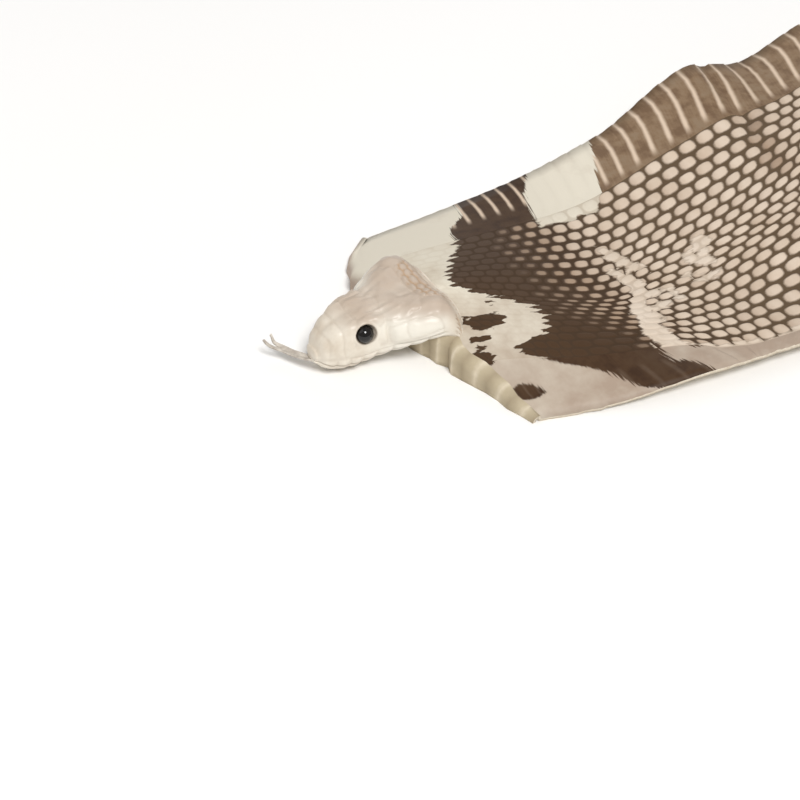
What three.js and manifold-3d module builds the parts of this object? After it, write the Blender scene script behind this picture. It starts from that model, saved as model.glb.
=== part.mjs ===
// A tanned cobra skin, slit along the belly and lying scales up, with its stuffed head, glass eyes and
// forked tongue. Millimetres, +Z up, +X from head to tail. The origin is on the hide's underside, in the
// middle of the flat stretch of the body that rests on the table.
import * as THREE from "three";
import { mergeVertices } from "three/addons/utils/BufferGeometryUtils.js";
import Module from "manifold-3d";

// Driving dimensions of the hide
const HIDE_LENGTH = 1100; // along the middle line, from the back of the head to the tail tip
const HIDE_THICK = 1.2;
const NECK_REACH = 14; // how far the hide runs forward under the head
const NEAR_CORNER = 8; // stations of the hood's two front corners
const FAR_CORNER = -9;
const NECK_HEIGHT = 15; // the arch of the neck behind the head
const ROLL_RADIUS = 5; // the neck's cut front edge rolls down to the table round this radius
const REST_STATION = 470; // the station whose underside is the origin, where the hide lies flat

// Driving dimensions of the head, eyes and tongue
const HEAD_LENGTH = 44;
const NAPE = 1; // the back of the head is this far ahead of station 0
const HEAD_TURN = THREE.MathUtils.degToRad(1);
const EYE_RADIUS = 2.9;
const EYE_BACK = 14.2; // from the snout tip
const EYE_SIDE = 7.6;
const EYE_HEIGHT = 14.2;
const SEAT_GAP = 0.3; // between each loose piece and the head
const TONGUE_THICK = 0.7;
const TONGUE_HALF = 1.5;
const PRONG_HALF = 0.6;
const FORK_AT = 0.6; // the part of the tongue that isn't forked

// Half the hide's width at stations along the middle line
const HALF_WIDTH = [
  [-16, 45], [-6, 51], [4, 53.5], [14, 55.3], [40, 60.2], [75, 63.8], [120, 68], [180, 71], [230, 67.5],
  [300, 54], [380, 46], [620, 46], [760, 41], [880, 26], [1000, 12], [1100, 2.5],
];
// Turns of the middle line: degrees gained between two stations, from START_HEADING
const START_HEADING = -7;
const BENDS = [[20, 180, 21], [380, 720, -20], [780, 1060, 12]];
// Height of the underside at the middle and at the two cut edges: level at each station named
const MIDDLE_HEIGHT = [[0, NECK_HEIGHT], [90, 1.5], [195, 5], [320, 0], [700, 0], [780, 3], [880, 0]];
const NEAR_HEIGHT = [
  [18, 0], [62, 5.5], [84, 5.5], [130, 0], [230, 0], [290, 3], [370, 0], [590, 0], [660, 4], [740, 0.5],
  [830, 4], [930, 0],
];
const FAR_HEIGHT = [
  [30, 0], [110, 4], [178, 13.2], [218, 2], [257, 10], [350, 0], [590, 0], [690, 5], [770, 1], [860, 4],
  [960, 0],
];
const SWEEP = 22; // the waves run in from the edges this far towards the head

const wasm = await Module();
wasm.setup();

const ease = (a, b, x) => THREE.MathUtils.smoothstep(x, a, b);

// A value held level at each station of a list and eased between them.
function levelled(list, s) {
  if (s <= list[0][0]) return list[0][1];
  for (let i = 1; i < list.length; i++) {
    const [from, low] = list[i - 1];
    const [to, high] = list[i];
    if (s <= to) return low + (high - low) * ease(from, to, s);
  }
  return list.at(-1)[1];
}

// A smooth curve through the values of a list, level at its two ends.
function curved(list, s) {
  const last = list.length - 1;
  const x = THREE.MathUtils.clamp(s, list[0][0], list[last][0]);
  let i = 0;
  while (i < last - 1 && x > list[i + 1][0]) i++;
  const slope = (k) =>
    k === 0 || k === last
      ? 0
      : (list[k + 1][1] - list[k - 1][1]) / (list[k + 1][0] - list[k - 1][0]);
  const span = list[i + 1][0] - list[i][0];
  const f = (x - list[i][0]) / span;
  const f2 = f * f;
  const f3 = f2 * f;
  return (
    (2 * f3 - 3 * f2 + 1) * list[i][1] +
    (f3 - 2 * f2 + f) * span * slope(i) +
    (3 * f2 - 2 * f3) * list[i + 1][1] +
    (f3 - f2) * span * slope(i + 1)
  );
}

const heading = (s) =>
  THREE.MathUtils.degToRad(
    BENDS.reduce((sum, [from, to, turn]) => sum + turn * ease(from, to, s), START_HEADING),
  );

// The middle line in plan, walked from the back of the head in small steps, both ways.
const STEP = 2;
function walk(direction, reach) {
  const points = [new THREE.Vector2(0, 0)];
  for (let s = 0; s < reach; s += STEP) {
    const turn = heading(direction * (s + STEP / 2));
    points.push(
      points
        .at(-1)
        .clone()
        .add(new THREE.Vector2(Math.cos(turn), Math.sin(turn)).multiplyScalar(direction * STEP)),
    );
  }
  return points;
}
const tailward = walk(1, HIDE_LENGTH + STEP);
const headward = walk(-1, NECK_REACH + 2 * STEP);

function middle(s) {
  const line = s < 0 ? headward : tailward;
  const at = Math.abs(s) / STEP;
  const i = Math.min(Math.floor(at), line.length - 2);
  return line[i].clone().lerp(line[i + 1], at - i);
}
const origin = middle(REST_STATION);

// The station of the front edge. It is cut slanting on the near side and nearly square on the far side.
function frontStation(across) {
  const t = Math.abs(across);
  if (across < 0) return -NECK_REACH + (NECK_REACH + NEAR_CORNER) * t;
  return -NECK_REACH - 3 * Math.sin(Math.PI * t) + (NECK_REACH + FAR_CORNER) * t ** 6;
}

// Height of the underside. across runs from -1 at the near edge to 1 at the far edge.
function height(s, across) {
  const t = Math.abs(across);
  const swept = s + SWEEP * (1 - t * t);
  const mid = levelled(MIDDLE_HEIGHT, s);
  const arch = t ** (1.3 + 0.7 * ease(0, 90, s));
  if (across > 0) return mid + (levelled(FAR_HEIGHT, swept) - mid) * arch;
  const lip = ease(0.3, 0.95, t);
  return mid + (levelled(NEAR_HEIGHT, swept) - mid) * (arch + (lip - arch) * ease(10, 60, s));
}

// A point on the underside at a station, or past the front edge by "over" millimetres of rolled edge.
function underside(s, across, over = 0) {
  const half = curved(HALF_WIDTH, s);
  const turn = heading(s);
  const high = Math.max(height(s, across), 1);
  const radius = Math.min(ROLL_RADIUS, high);
  const angle = Math.min(over / radius, Math.PI / 2);
  const drop = radius * (1 - Math.cos(angle)) + Math.max(over - (radius * Math.PI) / 2, 0);
  const ahead = radius * Math.sin(angle);
  const p = middle(s).sub(origin);
  const z = over ? Math.max(high - drop, 0) : height(s, across);
  return new THREE.Vector3(
    p.x - ahead * Math.cos(turn) - across * half * Math.sin(turn),
    p.y - ahead * Math.sin(turn) + across * half * Math.cos(turn),
    z,
  );
}

// One closed sheet: an underside, the same surface moved up by the thickness, and the four cut edges.
function hideGeometry() {
  const columns = 16;
  const rollRows = 4;
  const hoodStep = 10;
  const bodyStep = 18;
  const hoodEnd = 290;
  const stations = [];
  for (let s = 0; s < hoodEnd; s += hoodStep) stations.push(s);
  const bodyRows = Math.round((HIDE_LENGTH - hoodEnd) / bodyStep);
  for (let i = 0; i <= bodyRows; i++)
    stations.push(hoodEnd + ((HIDE_LENGTH - hoodEnd) * i) / bodyRows);

  // Row 0 is the bottom of the rolled front edge. The rows of the neck fan out from the front edge.
  const point = (row, column) => {
    const across = Math.sin((Math.PI / 2) * ((2 * column) / columns - 1) * 0.8) / Math.sin(0.4 * Math.PI);
    const front = frontStation(across);
    const rollEnd = front + Math.min(ROLL_RADIUS, Math.max(height(front, across), 1));
    if (row < rollRows) {
      const high = Math.max(height(rollEnd, across), 1);
      const radius = Math.min(ROLL_RADIUS, high);
      const wall = high - radius + (radius * Math.PI) / 2;
      return underside(rollEnd, across, (wall * (rollRows - row)) / rollRows);
    }
    const neckEnd = stations[3];
    const s = stations[row - rollRows];
    return underside(s < neckEnd ? rollEnd + ((neckEnd - rollEnd) * s) / neckEnd : s, across);
  };

  const rows = rollRows + stations.length;
  const low = [];
  for (let r = 0; r < rows; r++) for (let c = 0; c <= columns; c++) low.push(point(r, c));
  const index = (r, c) => r * (columns + 1) + c;
  const clampRow = (r) => THREE.MathUtils.clamp(r, 0, rows - 1);
  const clampColumn = (c) => THREE.MathUtils.clamp(c, 0, columns);
  const high = low.map((p, i) => {
    const r = Math.floor(i / (columns + 1));
    const c = i % (columns + 1);
    const along = low[index(clampRow(r + 1), c)].clone().sub(low[index(clampRow(r - 1), c)]);
    const over = low[index(r, clampColumn(c + 1))].clone().sub(low[index(r, clampColumn(c - 1))]);
    const normal = along.cross(over).normalize();
    return p.clone().addScaledVector(normal, HIDE_THICK);
  });

  const count = low.length;
  const faces = [];
  const quad = (a, b, c, d) => faces.push(a, b, c, a, c, d);
  for (let r = 0; r < rows - 1; r++)
    for (let c = 0; c < columns; c++) {
      const [a, b, d, e] = [index(r, c), index(r + 1, c), index(r + 1, c + 1), index(r, c + 1)];
      quad(a, e, d, b);
      quad(a + count, b + count, d + count, e + count);
    }
  const rim = [];
  for (let c = 0; c < columns; c++) rim.push(index(0, c));
  for (let r = 0; r < rows - 1; r++) rim.push(index(r, columns));
  for (let c = columns; c > 0; c--) rim.push(index(rows - 1, c));
  for (let r = rows - 1; r > 0; r--) rim.push(index(r, 0));
  rim.forEach((a, i) => {
    const b = rim[(i + 1) % rim.length];
    quad(a, a + count, b + count, b);
  });
  return indexed([...low, ...high], faces);
}

function indexed(points, faces) {
  return new THREE.BufferGeometry().setFromPoints(points).setIndex(faces);
}

// Cross-sections of the head: distance behind the snout tip, half width, top, bottom.
const HEAD_SECTIONS = {
  half: [[0, 3.2], [2, 5.4], [5, 7.2], [10, 8.8], [15, 9.6], [20, 11.4], [28, 15.8], [35, 18.4], [41, 18.6], [44, 16]],
  top: [[0, 9.5], [2, 13], [5, 15.8], [10, 17.8], [15, 19], [20, 19.6], [31, 21.2], [39, 21.6], [44, 17.5]],
  bottom: [[0, 4.4], [2, 2.6], [5, 1.2], [10, 0.8], [16, 1.6], [26, 4], [36, 6], [44, 8.5]],
};

const swell = (x, centre, half) => Math.exp(-(((x - centre) / half) ** 2));

// A point on the head at a distance behind the snout tip and an angle from the far side over the crown.
function headPoint(back, angle) {
  const half = curved(HEAD_SECTIONS.half, back);
  const top = curved(HEAD_SECTIONS.top, back);
  const bottom = curved(HEAD_SECTIONS.bottom, back);
  const waist = bottom + 0.42 * (top - bottom);
  const c = Math.cos(angle);
  const s = Math.sin(angle);
  const square = 2 / (s > 0 ? 2.7 : 2.2);
  const shape = (v) => Math.sign(v) * Math.abs(v) ** square;
  const side = Math.abs(Math.asin(s));
  const brow = 0.7 * swell(back, 14, 5.5) * swell(side, 0.85, 0.22);
  const temple = 1.3 * swell(back, 33, 7) * swell(side, 0.95, 0.3);
  const saddle = -1.6 * swell(back, 38, 8) * swell(side, Math.PI / 2, 0.3);
  const lift = s > 0 ? brow + temple + saddle : 0;
  const y = half * shape(c) + lift * c;
  const z = waist + (s > 0 ? top - waist : waist - bottom) * shape(s) + lift * Math.abs(s);
  return new THREE.Vector3(back, y, z);
}

// The head's frame: its length lies along +X from the snout tip, which is ahead of the hide.
function headFrame() {
  const neck = middle(0).sub(origin);
  return new THREE.Matrix4()
    .makeTranslation(neck.x, neck.y, 0)
    .multiply(new THREE.Matrix4().makeRotationZ(HEAD_TURN))
    .multiply(new THREE.Matrix4().makeTranslation(-HEAD_LENGTH - NAPE, 0, 0));
}

function headGeometry() {
  const rings = 24;
  const sides = 28;
  const points = [];
  for (let r = 0; r <= rings; r++)
    for (let k = 0; k < sides; k++)
      points.push(headPoint(HEAD_LENGTH * (r / rings) ** 1.25, (2 * Math.PI * k) / sides));
  const cap = (r) => {
    const ring = points.slice(r * sides, (r + 1) * sides);
    return ring.reduce((sum, p) => sum.add(p), new THREE.Vector3()).divideScalar(sides);
  };
  const [front, rear] = [cap(0), cap(rings)];
  front.x -= 0.8;
  rear.x += 1;
  points.push(front, rear);
  const faces = [];
  for (let k = 0; k < sides; k++) {
    const next = (k + 1) % sides;
    for (let r = 0; r < rings; r++) {
      const [a, b] = [r * sides + k, r * sides + next];
      faces.push(a, b, b + sides, a, b + sides, a + sides);
    }
    faces.push(points.length - 2, next, k);
    faces.push(points.length - 1, rings * sides + k, rings * sides + next);
  }
  return indexed(points, faces).applyMatrix4(headFrame());
}

function eyeGeometry(side, radius) {
  return new THREE.SphereGeometry(radius, 16, 10)
    .translate(EYE_BACK, side * EYE_SIDE, EYE_HEIGHT)
    .applyMatrix4(headFrame());
}

// The tongue leaves the mouth and sweeps round to the far side. Points in the head's own frame.
const TONGUE_ROUTE = new THREE.CatmullRomCurve3([
  new THREE.Vector3(6, -0.5, 5.6),
  new THREE.Vector3(0.5, 0, 5),
  new THREE.Vector3(-2.8, 5.6, 4),
  new THREE.Vector3(-4.8, 9.7, 4),
  new THREE.Vector3(-7.2, 12.9, 5),
  new THREE.Vector3(-7.9, 15, 6.8),
]);

// A flat bar along part of the tongue's route, offset sideways by a share that grows to its end.
function tongueBar(from, to, half, spread, grow) {
  const steps = 10;
  const points = [];
  for (let i = 0; i <= steps; i++) {
    const at = from + ((to - from) * i) / steps;
    const centre = TONGUE_ROUTE.getPoint(at);
    const ahead = TONGUE_ROUTE.getTangent(at);
    const side = new THREE.Vector3(-ahead.y, ahead.x, 0).normalize();
    const up = ahead.clone().cross(side).negate().normalize();
    const drift = (spread * i) / steps;
    const wide = half * (1 - 0.5 * (i / steps) ** 2 * Math.abs(Math.sign(spread))) + grow;
    const thick = TONGUE_THICK / 2 + grow;
    for (const [a, b] of [[-1, -1], [1, -1], [1, 1], [-1, 1]])
      points.push(
        centre
          .clone()
          .addScaledVector(side, drift + a * wide)
          .addScaledVector(up, b * thick),
      );
  }
  const faces = [0, 1, 2, 0, 2, 3];
  for (let i = 0; i < steps; i++)
    for (let k = 0; k < 4; k++) {
      const a = 4 * i + k;
      const b = 4 * i + ((k + 1) % 4);
      faces.push(a, a + 4, b + 4, a, b + 4, b);
    }
  const end = 4 * steps;
  faces.push(end, end + 2, end + 1, end, end + 3, end + 2);
  return indexed(points, faces).applyMatrix4(headFrame());
}

function solid(geometry) {
  const bare = geometry.clone();
  bare.deleteAttribute("normal");
  bare.deleteAttribute("uv");
  const merged = mergeVertices(bare, 1e-4);
  const mesh = new wasm.Mesh({
    numProp: 3,
    vertProperties: merged.attributes.position.array,
    triVerts: new Uint32Array(merged.index.array),
  });
  const made = new wasm.Manifold(mesh);
  if (made.volume() > 0) return made;
  mesh.triVerts = mesh.triVerts.map((v, i, all) => all[i % 3 ? i + (i % 3 === 1 ? 1 : -1) : i]);
  return new wasm.Manifold(mesh);
}

function geometryOf(manifold) {
  const { vertProperties, triVerts } = manifold.getMesh();
  const geometry = new THREE.BufferGeometry()
    .setAttribute("position", new THREE.BufferAttribute(vertProperties, 3))
    .setIndex(new THREE.BufferAttribute(triVerts, 1));
  geometry.computeVertexNormals();
  return geometry;
}

function named(name, geometry, material) {
  const mesh = new THREE.Mesh(geometry, material);
  mesh.name = name;
  return mesh;
}

const tannedHide = new THREE.MeshStandardMaterial({ color: "#b3a38d", roughness: 0.55, metalness: 0 });
const blackGlass = new THREE.MeshStandardMaterial({ color: "#0b0b0a", roughness: 0.05, metalness: 0 });
const driedTongue = new THREE.MeshStandardMaterial({ color: "#cfc4b6", roughness: 0.6, metalness: 0 });

function tongue(grow) {
  const stem = solid(tongueBar(0, FORK_AT + 0.02, TONGUE_HALF, 0, grow));
  const prong = (side) => solid(tongueBar(FORK_AT, 1, PRONG_HALF + 0.3, side * 1.8, grow));
  return stem.add(prong(-1)).add(prong(1));
}

const sides = { left: -1, right: 1 };
let skin = solid(hideGeometry()).add(solid(headGeometry()));
for (const side of Object.values(sides))
  skin = skin.subtract(solid(eyeGeometry(side, EYE_RADIUS + SEAT_GAP)));
skin = skin.subtract(tongue(SEAT_GAP));

const model = new THREE.Group();
model.add(named("skin", geometryOf(skin), tannedHide));
for (const [word, side] of Object.entries(sides))
  model.add(named(`${word}_eye`, eyeGeometry(side, EYE_RADIUS), blackGlass));
model.add(named("tongue", geometryOf(tongue(0)), driedTongue));
export default model;
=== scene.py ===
"""A tanned cobra skin with its stuffed head: scales, belly plates, head, glass eyes and forked tongue."""

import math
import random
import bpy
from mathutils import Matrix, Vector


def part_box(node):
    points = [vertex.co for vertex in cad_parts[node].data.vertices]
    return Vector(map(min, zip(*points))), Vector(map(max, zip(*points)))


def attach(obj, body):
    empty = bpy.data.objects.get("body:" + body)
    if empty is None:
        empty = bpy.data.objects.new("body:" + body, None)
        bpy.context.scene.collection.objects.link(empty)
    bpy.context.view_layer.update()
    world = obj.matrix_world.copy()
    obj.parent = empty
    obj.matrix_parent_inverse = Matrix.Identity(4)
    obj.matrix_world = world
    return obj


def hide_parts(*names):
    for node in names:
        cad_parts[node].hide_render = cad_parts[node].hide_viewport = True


bl_info = {
    "name": "Tanned cobra skin",
    "version": (1, 0, 0),
    "blender": (4, 5, 0),
    "location": "3D View > Sidebar > Cobra skin",
    "description": "Makes a tanned cobra skin with its stuffed head, lying scales up on a pale table",
    "category": "Object",
}

from functools import partial

import bmesh
import bpy
from mathutils import Matrix, Vector, noise

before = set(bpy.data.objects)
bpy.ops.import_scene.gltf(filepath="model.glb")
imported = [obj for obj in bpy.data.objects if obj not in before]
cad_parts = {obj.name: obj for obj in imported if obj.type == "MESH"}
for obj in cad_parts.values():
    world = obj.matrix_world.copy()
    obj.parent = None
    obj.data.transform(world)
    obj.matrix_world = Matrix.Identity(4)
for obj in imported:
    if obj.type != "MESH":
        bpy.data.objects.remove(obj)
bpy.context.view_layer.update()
BODY = "root"
MM = 0.001

# The hide's form in millimetres, as its solid has it. A station is a distance behind the head, and
# across runs from -1 at the near edge to 1 at the far edge.
THICK = 1.2
NECK_REACH = 14
NEAR_CORNER = 8
FAR_CORNER = -9
CORNER_ROUND = 5
FRONT_BOW = 3
LOWEST_TOP = 0.1
ROLL_RADIUS = 2.5
REST_STATION = 470
HIDE_LENGTH = 1100
HALF_WIDTH = (
    (-16, 45), (-6, 51), (4, 53.5), (14, 55.3), (40, 60.2), (75, 63.8), (120, 68), (180, 71), (230, 67.5),
    (300, 54), (380, 46), (620, 46), (760, 41), (880, 26), (1000, 12), (1100, 2.5),
)
START_HEADING = -7
BENDS = ((20, 180, 21), (380, 720, -20), (780, 1060, 12))
MIDDLE_HEIGHT = ((0, 15), (90, 1.5), (195, 5), (320, 0), (700, 0), (780, 3), (880, 0))
NEAR_HEIGHT = (
    (18, 0), (62, 5.5), (84, 5.5), (130, 0), (230, 0), (290, 3), (370, 0), (590, 0), (660, 4), (740, 0.5),
    (830, 4), (930, 0),
)
FAR_HEIGHT = (
    (30, 0), (110, 4), (178, 13.2), (218, 2), (257, 10), (350, 0), (590, 0), (690, 5), (770, 1), (860, 4),
    (960, 0),
)
WAVE_SWEEP = 22
WALK_STEP = 2

# The scales: rows run along the hide, and each row is staggered half a scale against the next
SCALE_ROWS = 20
PLATE_ROWS = 5
GRID_ROWS = SCALE_ROWS + 2 * PLATE_ROWS
PARTS = 4
ROLL_COLUMNS = 8
NECK_SCALES = 8
NECK_END = 24
SCALE_PITCH = (
    (24, 5.8), (40, 6.0), (58, 6.3), (75, 7.6), (95, 8.7), (130, 9.3), (230, 9.3), (360, 6.4), (760, 5.8),
    (900, 5.0), (1100, 4.0),
)
# The middle row of scales and the last rows on both sides: across, by station on the middle line
SPINE = (
    (-14, -0.03), (0, -0.1), (20, -0.2), (50, -0.31), (75, -0.2), (100, -0.143), (150, -0.09), (220, 0),
)
FAR_SCALES = (
    (-14, 0.5), (20, 0.5), (45, 0.54), (76, 0.605), (96, 0.625), (117, 0.605), (137, 0.585), (152, 0.55),
    (165, 0.545), (230, 0.57), (320, 0.66),
)
NEAR_SCALES = (
    (-14, -0.6), (20, -0.68), (50, -0.76), (57, -0.8), (67, -0.87), (88, -0.91), (125, -0.88), (150, -0.82),
    (220, -0.68), (320, -0.66),
)
FAR_EVEN = ((0, 0.74), (320, 0.8))
NEAR_EVEN = ((80, 0.74), (120, 0.55), (200, 0.6), (320, 0.8))
# How far each line of scales across the hide leans back at its far and near end, and how the lean grows
FAR_LEAN = (
    (-14, 5), (20, 16), (50, 21), (69, 30), (90, 39), (117, 46), (139, 51), (190, 51), (260, 34), (330, 16),
    (760, 12), (1000, 5), (1100, 0),
)
NEAR_LEAN = (
    (-14, 4), (20, 9), (45, 12), (57, 11), (64, 6), (71, 3), (80, -5), (89, -11), (97, -16), (106, -21),
    (125, -25), (150, -25), (190, -10), (250, 12), (330, 16), (760, 12), (1000, 5), (1100, 0),
)
LEAN_GROWTH = ((0, 0), (0.15, 0.03), (0.35, 0.185), (0.65, 0.45), (1, 0.65), (1.5, 1))

# The markings: stations of the dark neck band's front and rear edge, by across
BAND_FRONT = (
    (-1, 46), (-0.945, 41), (-0.875, 38), (-0.78, 33.5), (-0.7, 23), (-0.64, 18.4), (-0.59, 13.4),
    (-0.54, 13.3), (-0.51, 21.9), (-0.42, 26), (-0.355, 25.5), (-0.29, 24.6), (-0.23, 19.5), (-0.19, 15.4),
    (-0.09, 7.5), (0, 5), (0.14, 7.1), (0.377, 16.3), (0.435, 19), (0.674, 22.7), (0.785, 31), (1, 34.8),
)
BAND_REAR = (
    (-1, 61), (-0.884, 57.8), (-0.785, 53.5), (-0.59, 52.3), (-0.32, 51.6), (-0.123, 49.6), (0.1, 48.3),
    (0.3, 49.6), (0.467, 53.8), (0.58, 56.2), (0.695, 58.7), (0.858, 63.5), (1, 71.9),
)
# The cream strip of the near plates begins at the last row of scales, and ends at its last station
NEAR_STRIP = ((58, -0.78), (65, -0.8), (70, -0.84), (77, -0.88), (87, -0.895), (112, -0.87))
PALE_REAR = ((0.49, 82), (0.61, 92), (0.7, 95), (0.81, 101), (0.925, 107.7), (1, 112))
# The far side's pale patch begins at this across, ragged by so much, in bites of so many millimetres
PATCH_SIDE = 0.44
PATCH_RAG = 0.08
PATCH_BITE = 5
# Depths into the markings are kept to this many millimetres
DEEPEST = 9
# Where the band's dark brown turns to the plain brown, in millimetres behind its rear edge
BROWN_FROM = -4
BROWN_TO = 40
# Pale middles of scales begin this far ahead of the band's rear edge, at the near plates and elsewhere,
# and have all their width and paleness this far behind it
SPOTS_AHEAD = (10, 25)
SPOTS_TURN = (-0.62, -0.4)
SPOTS_FULL = 20
SPOT_WIDTHS = (0.42, 0.835)
# The throat's scales are tanned nearly flat: the share of the relief there, and where it grows
THROAT_SHARE = 0.12
THROAT_GROWS = (5, 65)
# Pale strands: station and across of both ends, and half width in millimetres
PALE_STRANDS = (
    (66.5, 0.11, 69.4, 0.01, 2.5), (69.4, 0.01, 72.5, -0.08, 2.2), (61.5, -0.08, 65.8, -0.24, 2.5),
    (64, -0.28, 58.4, -0.435, 2.8), (58.4, -0.435, 56.5, -0.557, 3), (56.5, -0.557, 56.8, -0.82, 3.6),
    (69.9, -0.297, 63.6, -0.456, 1.8), (63.6, -0.456, 58.5, -0.649, 2), (74.5, -0.3, 74, -0.37, 2.2),
    (101.3, -0.023, 95.4, -0.154, 2.4), (92, -0.12, 96.5, -0.21, 2.6), (84.4, -0.238, 91, -0.287, 2),
)
# Blots: station, across, half length in millimetres, half width in across
THROAT_BLOTS = (
    (8.5, -0.34, 7, 0.05), (3.8, -0.45, 4.5, 0.025), (1.2, -0.57, 4.5, 0.06), (8.6, -0.82, 7, 0.052),
    (13, -0.22, 1.3, 0.014), (2, -0.3, 1.6, 0.02),
)
BLOT_STEEPNESS = 1.8
# The sharp fold that runs in from the far edge: its station, by across
FOLD = ((-0.05, 147), (0.15, 158), (0.27, 162), (0.4, 168), (0.54, 175.4), (0.75, 182.4), (1, 190))
FOLD_DEPTH = 1.8
FOLD_HALF = 4.2


def part_of(low, high, value):
    """How far a value has come from low to high, from 0 to 1."""
    return min(max((value - low) / (high - low), 0), 1)


def ease(low, high, value):
    """From 0 at low to 1 at high, level at both."""
    share = part_of(low, high, value)
    return share * share * (3 - 2 * share)


def mix(a, b, share):
    """The value that lies this share of the way from a to b."""
    return a + (b - a) * share


def swell(value, centre, half):
    """A bell round a centre, 1 high."""
    return math.exp(-(((value - centre) / half) ** 2))


def plateau(edges, value):
    """1 between the inner two of four edges, eased down to 0 at the outer two."""
    rise, top, end, fall = edges
    return ease(rise, top, value) * (1 - ease(end, fall, value))


def levelled(points, value, rise=ease):
    """The value of a list at a place, level at each of its points and eased between them."""
    for (start, low), (end, high) in zip(points, points[1:]):
        if value <= end:
            return mix(low, high, rise(start, end, value))
    return points[-1][1]


def straight(points, value):
    """The value of a list at a place, joined by straight lines."""
    return levelled(points, value, part_of)


def curved(points, value):
    """A smooth curve through the values of a list, level at its two ends."""
    last = len(points) - 1
    x = min(max(value, points[0][0]), points[last][0])
    i = 0
    while i < last - 1 and x > points[i + 1][0]:
        i += 1

    def slope(k):
        if k in (0, last):
            return 0
        return (points[k + 1][1] - points[k - 1][1]) / (points[k + 1][0] - points[k - 1][0])

    span = points[i + 1][0] - points[i][0]
    f = (x - points[i][0]) / span
    f2 = f * f
    f3 = f2 * f
    return (
        (2 * f3 - 3 * f2 + 1) * points[i][1]
        + (f3 - 2 * f2 + f) * span * slope(i)
        + (3 * f2 - 2 * f3) * points[i + 1][1]
        + (f3 - f2) * span * slope(i + 1)
    )


def stroke_gap(ahead, aside, run, sway):
    """How far a place lies from a straight stroke, both measured from where the stroke begins."""
    share = min(max((ahead * run + aside * sway) / (run * run + sway * sway), 0), 1)
    return math.hypot(ahead - share * run, aside - share * sway)


def heading(station):
    """The way that the hide's middle line runs at a station, as an angle."""
    return math.radians(START_HEADING + sum(turn * ease(a, b, station) for a, b, turn in BENDS))


def walk(direction, reach):
    """Points along the middle line from the head, one each step."""
    points = [Vector((0, 0))]
    station = 0
    while station < reach:
        turn = heading(direction * (station + WALK_STEP / 2))
        points.append(points[-1] + direction * WALK_STEP * Vector((math.cos(turn), math.sin(turn))))
        station += WALK_STEP
    return points


TAILWARD = walk(1, HIDE_LENGTH + WALK_STEP)
HEADWARD = walk(-1, NECK_REACH + 2 * WALK_STEP)


def middle(station):
    """The place of a station on the middle line."""
    line = HEADWARD if station < 0 else TAILWARD
    at = abs(station) / WALK_STEP
    i = min(int(at), len(line) - 2)
    return line[i].lerp(line[i + 1], at - i)


ORIGIN = middle(REST_STATION)


def front_station(across):
    """The station of the front edge: straight on the near side, bowed to a round corner on the far side."""
    t = abs(across)
    if across < 0:
        return -NECK_REACH + (NECK_REACH + NEAR_CORNER) * t
    bowed = -NECK_REACH - FRONT_BOW * math.sin(math.pi * t)
    return bowed + (NECK_REACH + FAR_CORNER) * t**6 + CORNER_ROUND * t**24


def height(station, across):
    """Height of the underside over the table."""
    t = abs(across)
    swept = station + WAVE_SWEEP * (1 - t * t)
    mid = levelled(MIDDLE_HEIGHT, station)
    arch = t ** (1.3 + 0.7 * ease(0, 90, station))
    if across > 0:
        return mid + (levelled(FAR_HEIGHT, swept) - mid) * arch
    lip = ease(0.3, 0.95, t)
    return mid + (levelled(NEAR_HEIGHT, swept) - mid) * mix(arch, lip, ease(10, 60, station))


def fold_gap(station, across):
    """How far in millimetres a place lies behind the sharp fold."""
    return station - straight(FOLD, across)


def fold(station, across):
    """How deep the sharp fold dips, in millimetres."""
    return FOLD_DEPTH * swell(fold_gap(station, across), 0, FOLD_HALF) * ease(0.05, 0.5, across)


def underside(station, across, over=0):
    """A point under the hide, or past the front edge by "over" millimetres of rolled edge."""
    half = curved(HALF_WIDTH, station)
    turn = heading(station)
    high = max(height(station, across), 1)
    radius = min(ROLL_RADIUS, high)
    angle = min(over / radius, math.pi / 2)
    drop = radius * (1 - math.cos(angle)) + max(over - radius * math.pi / 2, 0)
    ahead = radius * math.sin(angle)
    place = middle(station) - ORIGIN
    return Vector((
        place.x - ahead * math.cos(turn) - across * half * math.sin(turn),
        place.y - ahead * math.sin(turn) + across * half * math.cos(turn),
        max(high - drop, 0) if over else max(height(station, across) - fold(station, across), 0),
    ))


def lattice_stations():
    """The middle station of each quarter scale, walked from the end of the neck to the tail tip."""
    stations = [NECK_END]
    while stations[-1] < HIDE_LENGTH:
        stations.append(stations[-1] + straight(SCALE_PITCH, stations[-1]) / PARTS)
    while (len(stations) - 1) % PARTS:
        stations.pop()
    reach = (HIDE_LENGTH - NECK_END) / (stations[-1] - NECK_END)
    return [NECK_END + (s - NECK_END) * reach for s in stations]


LATTICE = lattice_stations()
NECK_COLUMNS = NECK_SCALES * PARTS
COLUMNS = ROLL_COLUMNS + NECK_COLUMNS + len(LATTICE) - 1
FLESH_STEPS = (0, 5, 10, 15, 20, 25, 30)
FINE_SCALES = 44
ROW_WAVE = 0.1
PLATE_PLACES = (0, 0.34, 0.66, 0.93)
PLATE_RISE = (0, 0.5, 0.85, 1)
WALL_FOLD = 0.7
FRONT_WAVE = 1.8
FRONT_WAVES = 9
EDGE_RAG = 0.012
# The near plates have pale lines at their overlaps from this station on, and next to none before it
NEAR_LINES = 100
FAINT_LINE = 0.05
# The far side of the rolled front edge is in shade from this column to this one
SHADE_ENDS = (4, 7)
# Scales past this across lie in the far side's creamy patch
FAR_PATCH = 0.3


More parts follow.
